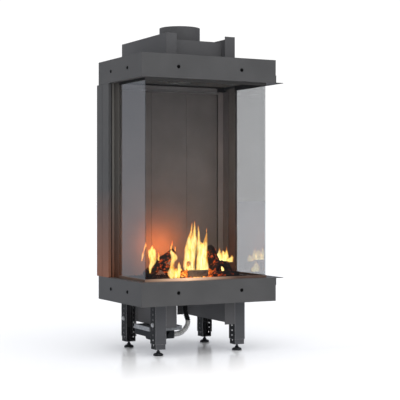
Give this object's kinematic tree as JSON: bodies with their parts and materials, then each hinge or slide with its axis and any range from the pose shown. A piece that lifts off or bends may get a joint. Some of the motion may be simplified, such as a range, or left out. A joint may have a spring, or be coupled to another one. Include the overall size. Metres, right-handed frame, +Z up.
{
  "type": "gas fireplace",
  "caption": "Tall built-in gas fire with glass on the front and both sides, steel hood and base, flue collar on top, ceramic logs on a glowing burner, and telescopic legs with screw feet.",
  "frame": {"origin": "centre of the overall box, on the floor under the feet", "axes": "+Z up; -Y towards the room, through the front glass; +X to the right side, where the two ledges stand out"},
  "size_m": [0.636, 0.512, 1.322],
  "materials": {
    "grey_enamel_steel": "satin",
    "chamber_enamel": "matt",
    "galvanised_steel": "dull",
    "stainless_steel": "bright",
    "ceramic_glass": "polished",
    "black_polymer": "moulded",
    "ceramic_fibre": "charred bark",
    "ember_granules": "granular",
    "black_oxide_steel": "black oxide",
    "burner_steel": "matt"
  },
  "bodies": {
    "casing": {"air_deflector": "grey_enamel_steel", "back_liner_centre": "chamber_enamel", "back_liner_left": "chamber_enamel", "back_liner_right": "chamber_enamel", "base_floor": "grey_enamel_steel", "base_ledge": "grey_enamel_steel", "base_shell": "grey_enamel_steel", "bottom_bracket_left": "grey_enamel_steel", "bottom_bracket_right": "grey_enamel_steel", "burner_block": "burner_steel", "burner_tray": "burner_steel", "ceiling_panel": "chamber_enamel", "chamber_back": "chamber_enamel", "collar_ring": "grey_enamel_steel", "ember_bed": "ember_granules", "exhaust_spigot": "stainless_steel", "flue_collar": "grey_enamel_steel", "gas_hose": "stainless_steel", "gas_tray": "galvanised_steel", "gas_valve": "black_polymer", "glass_post_left": "grey_enamel_steel", "glass_post_right": "grey_enamel_steel", "hearth_plate": "chamber_enamel", "hood_ledge": "grey_enamel_steel", "hood_shell": "grey_enamel_steel", "left_glass": "ceramic_glass", "leg_outer_front_left": "grey_enamel_steel", "leg_outer_front_right": "grey_enamel_steel", "leg_outer_rear_left": "grey_enamel_steel", "leg_outer_rear_right": "grey_enamel_steel", "log_left_cross": "ceramic_fibre", "log_left_leaning": "ceramic_fibre", "log_right_arch": "ceramic_fibre", "log_right_front": "ceramic_fibre", "log_right_leaning": "ceramic_fibre", "lower_glass_channel": "grey_enamel_steel", "pilot_assembly": "stainless_steel", "rear_air_duct": "galvanised_steel", "rear_casing": "grey_enamel_steel", "right_glass": "ceramic_glass", "side_column_left": "grey_enamel_steel", "side_column_right": "grey_enamel_steel", "side_liner_left": "chamber_enamel", "side_liner_right": "chamber_enamel", "spigot_ring": "stainless_steel", "top_bracket_left": "grey_enamel_steel", "top_bracket_right": "grey_enamel_steel", "top_rail": "chamber_enamel", "upper_glass_channel": "grey_enamel_steel"},
    "front_pane": {"front_glass": "ceramic_glass"},
    "flap": {"relief_flap": "burner_steel"},
    "knob": {"valve_knob": "black_polymer"},
    "inner_leg_front_left": {"leg_inner_front_left": "grey_enamel_steel"},
    "screw_foot_front_left": {"foot_front_left": "galvanised_steel"},
    "inner_leg_front_right": {"leg_inner_front_right": "grey_enamel_steel"},
    "screw_foot_front_right": {"foot_front_right": "galvanised_steel"},
    "inner_leg_rear_left": {"leg_inner_rear_left": "grey_enamel_steel"},
    "screw_foot_rear_left": {"foot_rear_left": "galvanised_steel"},
    "inner_leg_rear_right": {"leg_inner_rear_right": "grey_enamel_steel"},
    "screw_foot_rear_right": {"foot_rear_right": "galvanised_steel"}
  },
  "joints": [
    {"name": "front_pane_lift", "type": "slide", "parent": "casing", "child": "front_pane", "axis": [0, 0, 1], "range_m": [0, 0.0115]},
    {"name": "relief_flap_hinge", "type": "hinge", "parent": "casing", "child": "flap", "pos_m": [-0.018, -0.088, 1.1018], "axis": [-1, 0, 0], "range_deg": [0, 35]},
    {"name": "valve_knob_turn", "type": "hinge", "parent": "casing", "child": "knob", "pos_m": [-0.133, -0.1133, 0.0739], "axis": [0, -1, 0], "range_deg": [0, 90]},
    {"name": "leg_extend_front_left", "type": "slide", "parent": "casing", "child": "inner_leg_front_left", "axis": [0, 0, -1], "range_m": [0, 0.1]},
    {"name": "foot_level_front_left", "type": "slide", "parent": "inner_leg_front_left", "child": "screw_foot_front_left", "axis": [0, 0, -1], "range_m": [-0.008, 0.03]},
    {"name": "leg_extend_front_right", "type": "slide", "parent": "casing", "child": "inner_leg_front_right", "axis": [0, 0, -1], "range_m": [0, 0.1]},
    {"name": "foot_level_front_right", "type": "slide", "parent": "inner_leg_front_right", "child": "screw_foot_front_right", "axis": [0, 0, -1], "range_m": [-0.008, 0.03]},
    {"name": "leg_extend_rear_left", "type": "slide", "parent": "casing", "child": "inner_leg_rear_left", "axis": [0, 0, -1], "range_m": [0, 0.1]},
    {"name": "foot_level_rear_left", "type": "slide", "parent": "inner_leg_rear_left", "child": "screw_foot_rear_left", "axis": [0, 0, -1], "range_m": [-0.008, 0.03]},
    {"name": "leg_extend_rear_right", "type": "slide", "parent": "casing", "child": "inner_leg_rear_right", "axis": [0, 0, -1], "range_m": [0, 0.1]},
    {"name": "foot_level_rear_right", "type": "slide", "parent": "inner_leg_rear_right", "child": "screw_foot_rear_right", "axis": [0, 0, -1], "range_m": [-0.008, 0.03]}
  ]
}
